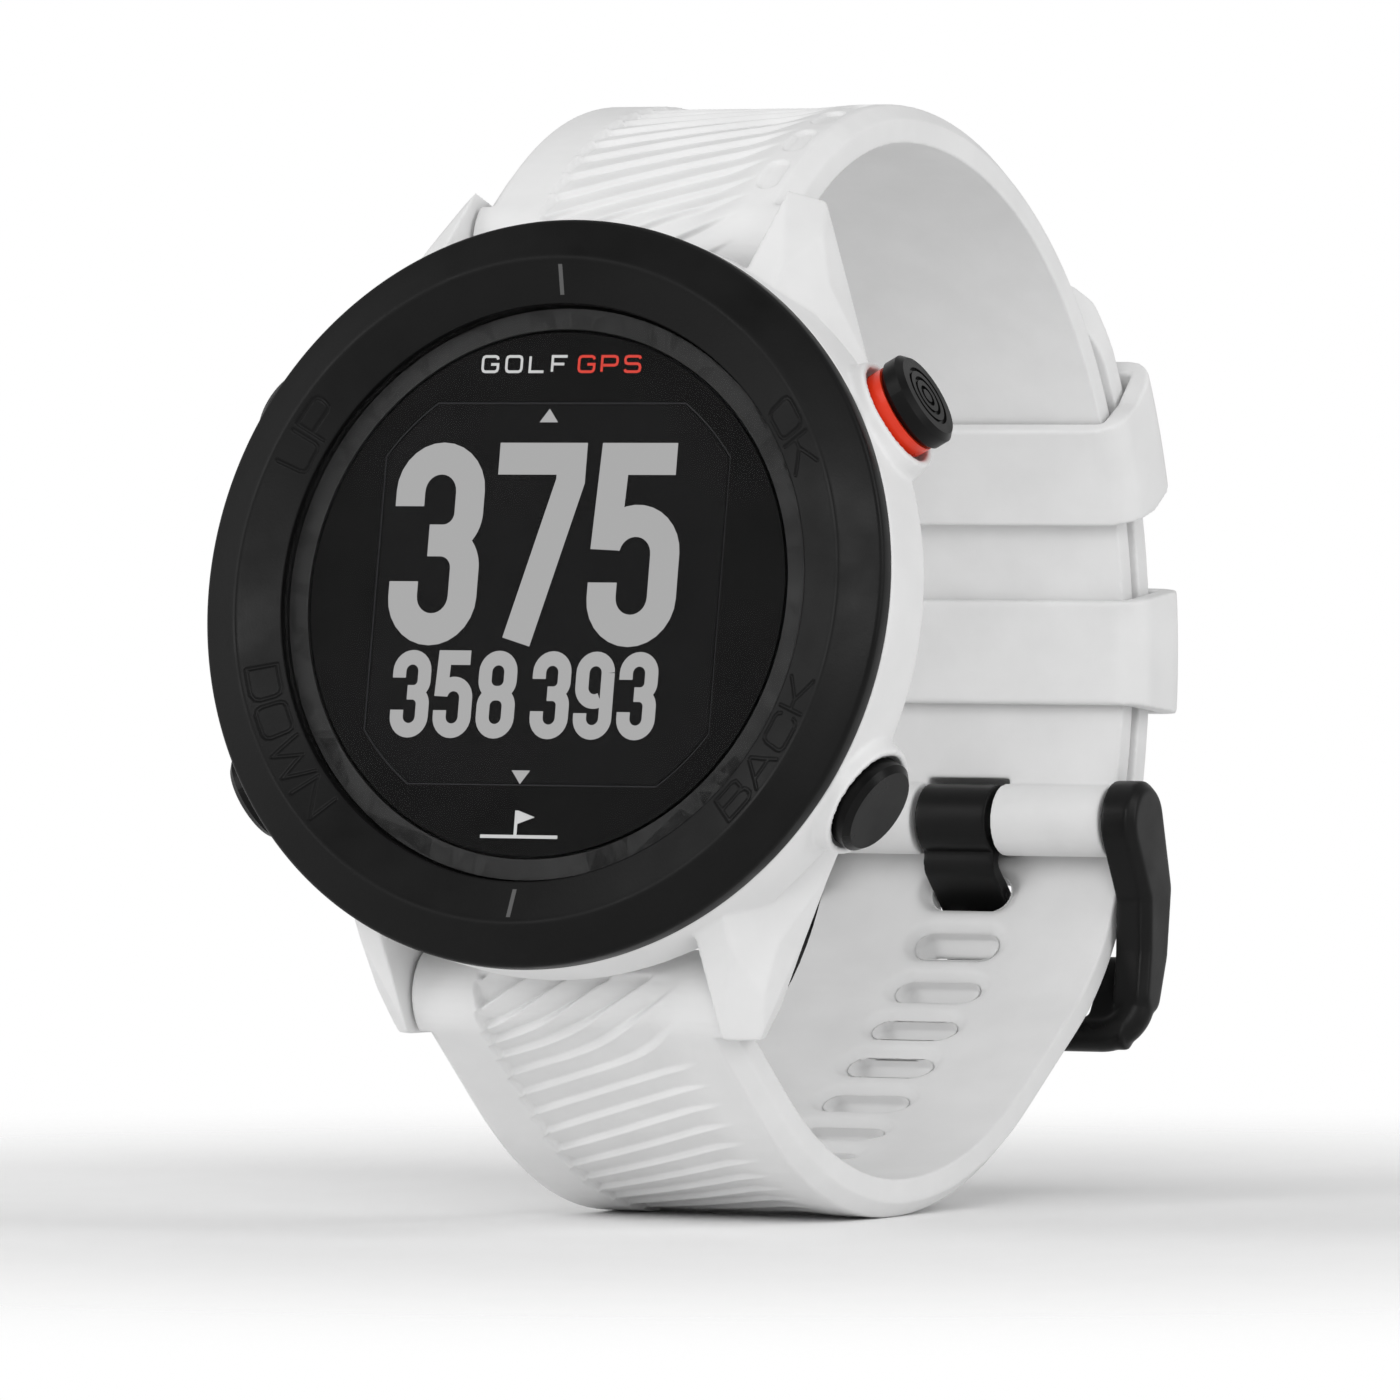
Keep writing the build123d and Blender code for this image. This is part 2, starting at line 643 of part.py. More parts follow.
def buckle_frame():
    """Two curved arms joined by the far bar outside the strap."""
    pin = loop_point(LOOP_R - PIN_ROLL_R, PIN_ANGLE)
    far = loop_point(FAR_BAR_LOOP_R, FAR_BAR_ANGLE)
    outline = [Pos(pin[0] + y, pin[1] + z) * Circle(r) for y, z, r in ARM_LINE]
    arm_face = Sketch()
    for first, second in zip(outline, outline[1:]):
        arm_face += make_hull([*first.edges(), *second.edges()])
    arms = slab(arm_face, ARM_OUTER)
    arms = chamfer(arms.edges().filter_by(lambda e: abs(abs(e.center().X) - ARM_OUTER) < 0.01), ARM_BEVEL)
    arms -= extrude(SIDE * Pos(pin[0], pin[1] - 6) * Rectangle(40, 40), ARM_INNER, both=True)
    root = (pin[0] + ARM_LINE[-1][0], pin[1] + ARM_LINE[-1][1])
    middle = (ARM_INNER + ARM_OUTER) / 2
    path = FilletPolyline(
        (-middle, *root), (-middle, *far), (middle, *far), (middle, *root), radius=FAR_BAR_CORNER
    )
    bar = sweep(Plane(path @ 0, z_dir=path % 0) * Circle(FAR_BAR_R), path=path)
    web_top = loop_point(FAR_BAR_LOOP_R, FAR_BAR_ANGLE + WEB_ANGLE)
    web_ends = [Pos(*end) * Circle(WEB_HALF_T) for end in (far, web_top)]
    web = slab(make_hull([edge for end in web_ends for edge in end.edges()]), middle - 0.2)
    web -= slab(Pos(*far) * Circle(12), WEB_INNER)
    return arms + bar + web - rod(-ARM_OUTER + 0.3, ARM_OUTER - 0.3, PIN_R, pin)


def buckle_tang():
    """Strip round the pin whose tongue passes out through the slot to the far bar."""
    pin = loop_point(LOOP_R - PIN_ROLL_R, PIN_ANGLE)
    rest = FAR_BAR_R + TANG_T / 2 + TANG_GAP
    over_bar = loop_point(FAR_BAR_LOOP_R + rest, FAR_BAR_ANGLE + 0.3)
    route = FilletPolyline(
        pin,
        *[loop_point(r, a) for r, a in TANG_ROUTE],
        over_bar,
        (over_bar[0] - 1.0, over_bar[1] - 0.9),
        radius=0.9,
    )
    tongue = trace(route, TANG_T)
    face = tongue + Pos(*pin) * Circle(2.15) - Pos(*pin) * Circle(PIN_R + 0.05)
    return slab(face, TANG_HALF)


save("case_body", on_head(case_body()))
save("rear_cover", on_head(rear_cover()))
save("rear_screws", on_head(rear_screws()))
save("charging_contacts", on_head(charging_contacts()))
save("case_gasket", on_head(ring(BACK_OPENING_R, 13.8, -8.5, -9.1)))
save("bezel_ring", on_head(bezel_ring()))
save("lens", on_head(lens()))
save("lens_gasket", on_head(ring(16.7, 15.5, LENS_TOP - LENS_THICK, LENS_TOP - LENS_THICK - GASKET_THICK)))
save("display_mask", on_head(display_mask()))
save("display_panel", on_head(display_panel()))
save("chassis", on_head(chassis()))
save("main_board", on_head(main_board()))
save("gps_antenna", on_head(gps_antenna()))
save("battery", on_head(battery()))
save("buzzer", on_head(buzzer()))
save("button_bushes", on_head(button_bushes()))
save("button_springs", on_head(button_springs()))
save("switch_domes", on_head(switch_domes()))
for name in BUTTONS:
    save(f"{name}_button_cap", on_head(button_cap(name)))
    save(f"{name}_button_seal", on_head(button_seal(name)))
    save(f"{name}_button_clip", on_head(button_clip(name)))
save("ok_button_ring", on_head(ok_button_ring()))
save("upper_strap", upper_strap())
save("lower_strap", lower_strap())
for name, side in (("upper", 1), ("lower", -1)):
    save(f"{name}_spring_bar", spring_bar(side))
    save(f"{name}_bar_plunger", bar_plunger(side))
    save(f"{name}_bar_spring", bar_spring(side))
    save(f"{name}_keeper", keeper(name))
save("buckle_frame", buckle_frame())
save("buckle_pin", buckle_pin())
save("buckle_tang", buckle_tang())
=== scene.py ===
import json
from math import acos, atan2, cos, degrees, hypot, pi, radians, sin

import bmesh
import bpy
import numpy as np
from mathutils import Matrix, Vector

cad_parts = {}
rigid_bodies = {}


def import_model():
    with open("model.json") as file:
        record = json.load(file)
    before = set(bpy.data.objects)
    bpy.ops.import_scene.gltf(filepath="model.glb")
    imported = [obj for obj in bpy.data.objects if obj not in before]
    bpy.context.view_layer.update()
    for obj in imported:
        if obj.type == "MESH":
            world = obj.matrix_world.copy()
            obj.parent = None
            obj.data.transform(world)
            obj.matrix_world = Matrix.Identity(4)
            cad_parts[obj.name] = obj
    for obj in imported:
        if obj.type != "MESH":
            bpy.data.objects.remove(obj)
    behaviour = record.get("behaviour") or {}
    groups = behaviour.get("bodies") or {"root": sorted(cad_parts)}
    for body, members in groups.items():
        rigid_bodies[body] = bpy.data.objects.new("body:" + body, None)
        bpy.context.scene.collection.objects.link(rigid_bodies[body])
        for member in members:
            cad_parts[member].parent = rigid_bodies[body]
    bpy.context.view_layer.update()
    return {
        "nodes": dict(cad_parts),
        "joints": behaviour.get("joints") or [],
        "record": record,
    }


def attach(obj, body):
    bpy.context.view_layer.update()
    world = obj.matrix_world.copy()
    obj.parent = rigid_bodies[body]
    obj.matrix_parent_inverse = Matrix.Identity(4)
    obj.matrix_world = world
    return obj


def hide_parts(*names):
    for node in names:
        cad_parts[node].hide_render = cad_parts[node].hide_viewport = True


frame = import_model()
nodes = frame["nodes"]
record = frame["record"]
collection = bpy.context.scene.collection

MM = 0.001

# ---- places taken from the frame ----
joints = {joint["name"]: joint for joint in frame["joints"]}
case_back = record["mounts"][0]
OUT = -Vector(case_back["axis"]).normalized()           # out of the display
RIGHT = Vector((1, 0, 0))                               # to 3 o'clock
UP = OUT.cross(RIGHT)                                   # to 12 o'clock
COVER_DEPTH = 10.6                                      # mm, back plate behind the bezel's front edge
HEAD = Vector(case_back["pos_m"]) + OUT * COVER_DEPTH * MM
LOOP_Y, LOOP_Z = (c / MM for c in joints["lower_keeper_slide"]["pos_m"][1:])

# ---- sizes in mm, as the solid parts have them ----
BAR_V, BAR_W, BAR_ROLL_R = 22.2, -9.9, 2.85
STRAP_T, LOOP_R, LAYER_GAP = 2.3, 32.9, 0.1
UPPER_LEAD_R, LOWER_LEAD_R = 24.0, 27.5
PIN_ANGLE, TIP_ANGLE = -19.5, 42.0
CROSSOVER_START, CROSSOVER_R = 58.0, 20.0
SLOT_LENGTH, SLOT_WIDTH, SLOT_PITCH = 5.6, 2.0, 4.0
ENGAGED_SLOT_AT, SLOTS_BELOW, SLOTS_ABOVE = 62.6, 8, 5
CASE_R = 21.85
RIDGE_R, RIDGE_RISE, CONE_R = 19.43, 0.88, 16.87
WINDOW_R, WINDOW_FLAT = 13.8, 11.2
PRINT_W = -0.745                                        # printed text, just above the border ink
SCREEN_W = -0.85                                        # figures with a painted glow, just above the cell


def on_head(points):
    """Row-frame metres of (u, v, w) places on the head in mm."""
    points = np.asarray(points, float) * MM
    axes = np.array([RIGHT, UP, OUT])
    return points @ axes + np.array(HEAD)


# ---- materials ----
def material(name, colour, rough, metal=0.0, specular=0.5):
    made = bpy.data.materials.new(name)
    made.use_nodes = True
    shader = made.node_tree.nodes["Principled BSDF"]
    shader.inputs["Base Color"].default_value = (*colour, 1)
    shader.inputs["Roughness"].default_value = rough
    shader.inputs["Metallic"].default_value = metal
    shader.inputs["Specular IOR Level"].default_value = specular
    return made


def surface(name, colour, rough, metal=0.0, specular=0.5, grain=0.25, relief=0.01, spread=0.1, wear=0.06,
            marks=4.0):
    """Principled material with fine grain (mm), roughness variation and faint broad handling marks."""
    made = material(name, colour, rough, metal, specular)
    tree = made.node_tree
    shader = tree.nodes["Principled BSDF"]
    place = tree.nodes.new("ShaderNodeTexCoord").outputs["Object"]

    def noise(size, detail):
        node = tree.nodes.new("ShaderNodeTexNoise")
        node.inputs["Scale"].default_value = 1 / (size * MM)
        node.inputs["Detail"].default_value = detail
        tree.links.new(place, node.inputs["Vector"])
        return node.outputs["Fac"]

    def ranged(value, low, high):
        node = tree.nodes.new("ShaderNodeMapRange")
        node.inputs["From Min"].default_value = 0.3
        node.inputs["From Max"].default_value = 0.7
        node.inputs["To Min"].default_value = low
        node.inputs["To Max"].default_value = high
        tree.links.new(value, node.inputs["Value"])
        return node.outputs["Result"]

    fine = noise(grain, 3)
    broad = noise(marks, 4)
    tree.links.new(ranged(broad, rough - spread, rough + spread), shader.inputs["Roughness"])
    mix = tree.nodes.new("ShaderNodeMix")
    mix.data_type = "RGBA"
    tree.links.new(ranged(broad, 0, 1), mix.inputs["Factor"])
    mix.inputs["A"].default_value = (*[c * (1 - wear) for c in colour], 1)
    mix.inputs["B"].default_value = (*colour, 1)
    tree.links.new(mix.outputs["Result"], shader.inputs["Base Color"])
    bump = tree.nodes.new("ShaderNodeBump")
    bump.inputs["Distance"].default_value = relief * MM
    bump.inputs["Strength"].default_value = 1.0
    tree.links.new(fine, bump.inputs["Height"])
    tree.links.new(bump.outputs["Normal"], shader.inputs["Normal"])
    return made


def painted_glow(name, colour, strength):
    """Even colour of a painted glow, given by emission, which room light hardly changes."""
    made = material(name, (0, 0, 0), 0.6, specular=0.0)
    shader = made.node_tree.nodes["Principled BSDF"]
    shader.inputs["Emission Color"].default_value = (*colour, 1)
    shader.inputs["Emission Strength"].default_value = strength
    return made


WHITE_CASE = surface("white_case_polymer", (0.80, 0.80, 0.80), 0.42, grain=0.09, relief=0.0015)
WHITE_STRAP = surface("white_strap_silicone", (0.79, 0.79, 0.79), 0.52, grain=0.12, relief=0.002,
                      specular=0.4)
BLACK_BEZEL = surface("black_bezel_polymer", (0.0035, 0.0035, 0.0035), 0.42, grain=0.16, relief=0.006,
                      wear=0.2, specular=0.16)
BLACK_COAT = surface("black_buckle_coating", (0.004, 0.004, 0.004), 0.34, grain=0.12, relief=0.003, wear=0.2,
                     specular=0.2)
BLACK_CAP = surface("black_cap_polymer", (0.004, 0.004, 0.004), 0.34, grain=0.10, relief=0.003, wear=0.2,
                    specular=0.14)
INK = surface("black_border_ink", (0.0008, 0.0008, 0.0008), 0.5, specular=0.1, grain=0.3, relief=0.0005)
PANEL = surface("display_cell", (0.0038, 0.0038, 0.004), 0.5, specular=0.1, grain=0.2, relief=0.0005)
RED = surface("accent_anodising", (0.85, 0.035, 0.004), 0.32, grain=0.1, relief=0.001, wear=0.1)
STEEL = surface("spring_bar_steel", (0.55, 0.55, 0.56), 0.3, metal=1.0, grain=0.08, relief=0.001)
BRASS = surface("bush_brass", (0.72, 0.5, 0.2), 0.35, metal=1.0, grain=0.08, relief=0.001)
GOLD = surface("contact_gold", (0.9, 0.62, 0.25), 0.25, metal=1.0, grain=0.06, relief=0.0008)
RUBBER = surface("seal_rubber", (0.015, 0.015, 0.015), 0.7, grain=0.1, relief=0.003)
INNER = surface("inner_polymer", (0.05, 0.05, 0.055), 0.55, grain=0.2, relief=0.003)
BOARD = surface("circuit_board", (0.01, 0.07, 0.03), 0.4, grain=0.3, relief=0.004, wear=0.3)
CELL = surface("cell_wrap", (0.35, 0.36, 0.38), 0.35, metal=0.6, grain=0.5, relief=0.004)
COVER = surface("back_plate_polymer", (0.62, 0.62, 0.62), 0.38, grain=0.10, relief=0.002)
# painted glow: the display figures and arrows emit an even grey in place of lit colour
FIGURES_PAINTED_GLOW = painted_glow("display_figures", (0.46, 0.46, 0.46), 1.0)
# painted glow: the window's edge line emits a faint even grey
WINDOW_EDGE_PAINTED_GLOW = painted_glow("window_edge", (0.035, 0.035, 0.037), 1.0)
WHITE_PRINT = surface("white_print", (0.62, 0.62, 0.62), 0.5, grain=0.1, relief=0.0005)
RED_PRINT = surface("red_print", (0.7, 0.03, 0.01), 0.5, grain=0.1, relief=0.0005)
GREY_PAINT = surface("grey_tick_paint", (0.075, 0.075, 0.075), 0.5, grain=0.1, relief=0.001)

GLASS = material("cover_glass", (0.0, 0.0, 0.0), 0.04, specular=0.5)
GLASS.node_tree.nodes["Principled BSDF"].inputs["Alpha"].default_value = 0.06

FINISHES = {
    "case_polymer": WHITE_CASE, "strap_silicone": WHITE_STRAP, "bezel_polymer": BLACK_BEZEL,
    "buckle_metal": BLACK_COAT, "button_black": BLACK_CAP, "display_ink": INK, "display": PANEL,
    "button_accent": RED, "steel": STEEL, "brass": BRASS, "gold": GOLD, "seal_rubber": RUBBER,
    "inner_polymer": INNER, "circuit": BOARD, "cell": CELL, "cover_polymer": COVER, "cover_glass": GLASS,
}
slots = {part["node"]: part["material_slot"] for part in record["subparts"]}
bodies = {name: node.parent.name.split(":")[1] for name, node in nodes.items()}
for name, node in nodes.items():
    node.data.materials.clear()
    node.data.materials.append(FINISHES[slots[name]])


# ---- building helpers ----
def piece(name, vertices, faces, finish, body, smooth=True):
    mesh = bpy.data.meshes.new(name)
    mesh.from_pydata([tuple(v) for v in vertices], [], [tuple(int(i) for i in f) for f in faces])
    mesh.validate()
    mesh.polygons.foreach_set("use_smooth", [smooth] * len(mesh.polygons))
    mesh.materials.append(finish)
    made = bpy.data.objects.new(name, mesh)
    collection.objects.link(made)
    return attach(made, body)


def softened(name, new_name, voxel, rounds):
    """Copy of a CAD node with its edges and corners eased, riding and finished as the node is."""
    mesh = nodes[name].data.copy()
    shape = bmesh.new()
    shape.from_mesh(mesh)
    bmesh.ops.remove_doubles(shape, verts=shape.verts, dist=1e-6)
    shape.to_mesh(mesh)
    shape.free()
    made = bpy.data.objects.new(new_name, mesh)
    collection.objects.link(made)
    remesh = made.modifiers.new("remesh", "REMESH")
    remesh.mode = "VOXEL"
    remesh.voxel_size = voxel * MM
    smooth = made.modifiers.new("smooth", "SMOOTH")
    smooth.iterations = rounds
    smooth.factor = 0.5
    graph = bpy.context.evaluated_depsgraph_get()
    done = bpy.data.meshes.new_from_object(made.evaluated_get(graph))
    made.modifiers.clear()
    made.data = done
    done.name = new_name
    done.materials.clear()
    done.materials.append(FINISHES[slots[name]])
    done.polygons.foreach_set("use_smooth", [True] * len(done.polygons))
    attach(made, bodies[name])
    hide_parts(name)
    return made


def points_of(mesh):
    """Vertex places in mm."""
    out = np.empty(len(mesh.vertices) * 3)
    mesh.vertices.foreach_get("co", out)
    return out.reshape(-1, 3) / MM


def put_points(mesh, points):
    mesh.vertices.foreach_set("co", (points * MM).ravel())
    mesh.update()


def smoothstep(low, high, value):
    x = np.clip((value - low) / (high - low), 0, 1)
    return x * x * (3 - 2 * x)


# ---- the strap's path, in (Y, Z) ----
def head_to_side(v, w):
    place = on_head([(0, v, w)])[0] / MM
    return place[1], place[2]


def lead_normal(bar, centre, radius):
    dy, dz = centre[0] - bar[0], centre[1] - bar[1]
    spread = degrees(acos((radius - BAR_ROLL_R) / hypot(dy, dz)))
    return degrees(atan2(dz, dy)), spread, hypot(dy, dz) * sin(radians(spread))


def upper_path():
    bar = head_to_side(BAR_V, BAR_W)
    base, spread, length = lead_normal(bar, (LOOP_Y, LOOP_Z + LOOP_R - UPPER_LEAD_R), UPPER_LEAD_R)
    normal = base + 180 - spread
    inset = BAR_ROLL_R - STRAP_T / 2
    start = (bar[0] + inset * cos(radians(normal)), bar[1] + inset * sin(radians(normal)))
    return start, normal - 90, [
        (0, length), (UPPER_LEAD_R - STRAP_T / 2, 90 - normal), (LOOP_R - STRAP_T / 2, PIN_ANGLE - 90),
    ]


def lower_path():
    bar = head_to_side(-BAR_V, BAR_W)
    base, spread, length = lead_normal(bar, (LOOP_Y, LOOP_Z - LOOP_R + LOWER_LEAD_R), LOWER_LEAD_R)
    normal = base - 180 + spread
    inset = BAR_ROLL_R - STRAP_T / 2
    start = (bar[0] + inset * cos(radians(normal)), bar[1] + inset * sin(radians(normal)))
    layer = LOOP_R + LAYER_GAP + STRAP_T
    swing = degrees(acos((LOOP_R - CROSSOVER_R) / (layer - CROSSOVER_R)))
    return start, normal + 90, [
        (0, length), (LOWER_LEAD_R - STRAP_T / 2, -90 - normal),
        (LOOP_R - STRAP_T / 2, 90 - CROSSOVER_START),
        (0, (layer - CROSSOVER_R) * sin(radians(swing))),
        (CROSSOVER_R - STRAP_T / 2, swing), (layer - STRAP_T / 2, TIP_ANGLE + CROSSOVER_START - swing),
    ]


def strap_coordinates(points, path, side):
    """Distance along the strap, distance outwards from its middle, and the outward normal, per point.
    side is 1 where the outer face is left of the path and -1 where it is right."""
    (y, z), heading, steps = path
    p = points[:, 1:3]
    best = np.full(len(p), np.inf)
    along = np.zeros(len(p))
    out = np.zeros(len(p))
    normals = np.zeros((len(p), 2))
    travelled = 0.0
    first_d = np.array([cos(radians(heading)), sin(radians(heading))])
    roll = np.array([y, z]) - np.array([-first_d[1], first_d[0]]) * side * (BAR_ROLL_R - STRAP_T / 2)
    before = (p - np.array([y, z])) @ first_d < 0
    for radius, amount in steps:
        d = np.array([cos(radians(heading)), sin(radians(heading))])
        left = np.array([-d[1], d[0]])
        start = np.array([y, z])
        if radius == 0:
            s = (p - start) @ d
            t = (p - start) @ left * side
            n = np.repeat([left * side], len(p), 0)
            beyond = np.maximum(np.maximum(-s, s - amount), 0)
            length = amount
            y, z = start + d * amount
        else:
            turn = 1 if amount > 0 else -1
            centre = start + left * radius * turn
            away = p - centre
            reach = np.hypot(away[:, 0], away[:, 1])
            first = start - centre
            angle = np.arctan2(
                first[0] * away[:, 1] - first[1] * away[:, 0], away @ first
            ) * turn
            length = radius * abs(radians(amount))
            s = angle * radius
            t = reach - radius
            n = away / reach[:, None]
            beyond = np.maximum(np.maximum(-s, s - length), 0)
            heading += amount
            turned = radians(amount)
            y = centre[0] + first[0] * cos(turned) - first[1] * sin(turned)
            z = centre[1] + first[0] * sin(turned) + first[1] * cos(turned)
        score = np.abs(t) + 3 * beyond
        pick = score < best
        best[pick] = score[pick]
        along[pick] = travelled + s[pick]
        out[pick] = t[pick]
        normals[pick] = n[pick]
        travelled += length
    away = p[before] - roll
    reach = np.hypot(away[:, 0], away[:, 1])
    lift = np.array([-first_d[1], first_d[0]]) * side
    turned = np.arccos(np.clip(away @ lift / np.maximum(reach, 1e-6), -1, 1))
    along[before] = -turned * BAR_ROLL_R
    out[before] = reach - BAR_ROLL_R + STRAP_T / 2
    normals[before] = away / np.maximum(reach, 1e-6)[:, None]
    return along, out, normals


RIB_PITCH = 1.9
RIB_LEFT, RIB_RIGHT = -6.0, 7.2
RIB_SLANT = 0.42
RIB_START = -4.2                                        # round the bar roll, under the case
LOWER_RIBS_END, UPPER_RIBS_END = 26.5, 30.0
BASE_DEPTH, STEP_DEPTH, CURL_DEPTH = 0.18, 0.36, 0.35   # pressed panel, each rib, and its first curves
SKIN_LOW, SKIN_HIGH = 0.45, 0.15                        # below the face, where shaping fades in
DASH_LENGTH, DASH_WIDTH, DASH_DEPTH = 2.8, 1.3, 0.25
DASH_START, DASH_PITCH, DASH_X, DASH_COUNT = 3, 3.9, 7.9, 6
RIM_EASE, RIM_REACH = 0.5, 0.45                         # rounding of the slots' edges
HALO_AT, HALO_WIDTH, HALO_DEPTH = 1.15, 0.25, 0.22      # faint groove round each slot
WALL_REACH = 0.35                                       # slot wall thickness that is moved
SLOT_PINCH = 0.85
ENGAGED_PINCH = 0.24
STRAP_VOXEL, CASE_VOXEL, KEEPER_VOXEL, FRAME_VOXEL, TANG_VOXEL = 0.12, 0.14, 0.13, 0.11, 0.09
KEEPER_SKEW = 0.3


def ribs(x, s, slant, end, sweep):
    """Depth of the slanted ribs pressed into the outer face."""
    curl = sweep * (1 - smoothstep(-2.0, 3.6, s))       # the first few sweep round in deeper curves
    row = s + slant * x * (1 + 0.7 * curl)
    phase = row / RIB_PITCH
    saw = phase - np.floor(phase)
    step = saw * (1 - smoothstep(0.84, 1.0, saw))
    edge = RIB_LEFT + 0.3 * saw
    left = smoothstep(edge, edge + 0.2, x)
    fade = 1 - smoothstep(RIB_RIGHT - 3.0, RIB_RIGHT + 0.3, x)
    depth = left * fade * (BASE_DEPTH + (STEP_DEPTH + CURL_DEPTH * curl) * step)
    return depth * smoothstep(RIB_START, RIB_START + 0.5, s) * (1 - smoothstep(end - 1.2, end, s))


def stadium(x, s, length, width):
    """Distance outside a rounded slot centred at 0, 0."""
    return np.hypot(np.maximum(np.abs(x) - (length - width) / 2, 0), s) - width / 2


def shape_strap(made, path, side, slant, end, sweep, slots_at=(), dashes=()):
    points = points_of(made.data)
    s, t, n = strap_coordinates(points, path, side)
    x = points[:, 0].copy()
    outer = smoothstep(STRAP_T / 2 - SKIN_LOW, STRAP_T / 2 - SKIN_HIGH, t)
    inner = smoothstep(STRAP_T / 2 - SKIN_LOW, STRAP_T / 2 - SKIN_HIGH, -t) * (s > 0)
    depth = ribs(x, s, slant, end, sweep)
    for centre, dash_x in dashes:
        away = stadium(s - centre, x - dash_x, DASH_LENGTH, DASH_WIDTH)
        depth += DASH_DEPTH * (1 - smoothstep(-0.12, 0.08, away))
    along = np.stack([n[:, 1], -n[:, 0]], 1) * side
    eased = np.zeros(len(x))
    for number, centre in enumerate(slots_at):
        gap = stadium(x, s - centre, SLOT_LENGTH, SLOT_WIDTH)
        eased += RIM_EASE * np.exp(-((np.maximum(gap, 0) / RIM_REACH) ** 2))
        depth += HALO_DEPTH * np.exp(-(((gap - HALO_AT) / HALO_WIDTH) ** 2)) * (s < end + 6)
        if number == SLOTS_BELOW:                       # the engaged slot hugs the tang's sides
            ends = np.sign(x) * smoothstep(0.8, 2.2, np.abs(x)) * (np.abs(gap) < WALL_REACH)
            points[:, 0] -= ENGAGED_PINCH * ends * (1 - np.abs(t) / 1.6)
        else:                                           # the others close in towards the outer face
            wall = smoothstep(-0.1, 0.6, t) * (1 - smoothstep(0.85, 1.15, t)) * (np.abs(gap) < WALL_REACH)
            across = x - np.clip(x, -(SLOT_LENGTH - SLOT_WIDTH) / 2, (SLOT_LENGTH - SLOT_WIDTH) / 2)
            down = s - centre
            size = np.maximum(np.hypot(across, down), 0.1)
            points[:, 0] -= SLOT_PINCH * wall * across / size
            points[:, 1:3] -= (SLOT_PINCH * wall * down / size)[:, None] * along
    depth += eased * 0.5
    move = inner * eased - outer * depth
    points[:, 1] += n[:, 0] * move
    points[:, 2] += n[:, 1] * move
    put_points(made.data, points)


slots_at = [ENGAGED_SLOT_AT + SLOT_PITCH * k for k in range(-SLOTS_BELOW, SLOTS_ABOVE + 1)]
lower = softened("lower_strap", "strap_lower", STRAP_VOXEL, 5)
shape_strap(lower, lower_path(), -1, RIB_SLANT, LOWER_RIBS_END, 1.0, slots_at)
upper = softened("upper_strap", "strap_upper", STRAP_VOXEL, 5)
dashes = [(DASH_START + DASH_PITCH * k, DASH_X) for k in range(DASH_COUNT)]
shape_strap(upper, upper_path(), 1, -RIB_SLANT, UPPER_RIBS_END, 0.2, (), dashes)

softened("case_body", "case_shell", CASE_VOXEL, 5)
softened("lower_keeper", "keeper_lower", KEEPER_VOXEL, 8)
skewed = softened("upper_keeper", "keeper_upper", KEEPER_VOXEL, 8)
places = points_of(skewed.data)
reach = np.hypot(places[:, 1] - LOOP_Y, places[:, 2] - LOOP_Z)
lean = KEEPER_SKEW * np.maximum(reach - LOOP_R, 0)
places[:, 1] -= lean * (places[:, 2] - LOOP_Z) / reach
places[:, 2] += lean * (places[:, 1] - LOOP_Y) / reach
put_points(skewed.data, places)
softened("buckle_frame", "buckle_arms", FRAME_VOXEL, 8)
softened("buckle_tang", "tang", TANG_VOXEL, 5)


# ---- strokes for figures and labels ----
def arc(cx, cy, r, start, end, steps=14):
    return [
        (cx + r * cos(radians(start + (end - start) * k / steps)),
         cy + r * sin(radians(start + (end - start) * k / steps)))
        for k in range(steps + 1)
    ]


LABEL_STROKES = {
    "U": [[(0, 1), (0, .2), (.06, .06), (.2, 0), (.9, 0), (1.04, .06), (1.1, .2), (1.1, 1)]],
    "P": [[(0, 0), (0, 1), (.9, 1), (1.05, .94), (1.1, .8), (1.1, .62), (1.05, .48), (.9, .42), (0, .42)]],
    "O": [[(.2, 0), (.06, .06), (0, .2), (0, .8), (.06, .94), (.2, 1), (.9, 1), (1.04, .94), (1.1, .8),
           (1.1, .2), (1.04, .06), (.9, 0), (.2, 0)]],
    "K": [[(0, 0), (0, 1)], [(0, .5), (.35, .5), (1.05, 1)], [(.35, .5), (1.1, 0)]],
    "D": [[(0, 0), (0, 1), (.85, 1), (1.03, .92), (1.1, .75), (1.1, .25), (1.03, .08), (.85, 0), (0, 0)]],
    "W": [[(0, 1), (.36, 0), (.76, .9), (1.16, 0), (1.52, 1)]],
    "N": [[(0, 0), (0, 1), (1.1, 0), (1.1, 1)]],
    "B": [[(0, 0), (0, 1), (.85, 1), (1.0, .92), (1.0, .6), (.85, .52), (0, .52)],
          [(.85, .52), (1.05, .44), (1.1, .3), (1.1, .12), (.95, 0), (0, 0)]],
    "A": [[(0, 0), (.5, 1), (.62, 1), (1.12, 0)], [(.17, .32), (.95, .32)]],
    "C": [[(1.1, .8), (1.04, .94), (.9, 1), (.2, 1), (.06, .94), (0, .8), (0, .2), (.06, .06), (.2, 0),
           (.9, 0), (1.04, .06), (1.1, .2)]],
    "G": [[(1.1, .8), (1.04, .94), (.9, 1), (.2, 1), (.06, .94), (0, .8), (0, .2), (.06, .06), (.2, 0),
           (.9, 0), (1.04, .06), (1.1, .2), (1.1, .48), (.6, .48)]],
    "L": [[(0, 1), (0, 0), (1.0, 0)]],
    "F": [[(0, 0), (0, 1), (1.05, 1)], [(0, .5), (.85, .5)]],
    "S": [[(1.1, .85), (1.03, .97), (.9, 1), (.2, 1), (.05, .94), (0, .78), (.05, .58), (.2, .52), (.9, .52),
           (1.05, .44), (1.1, .26), (1.05, .06), (.9, 0), (.2, 0), (.07, .03), (0, .15)]],
}


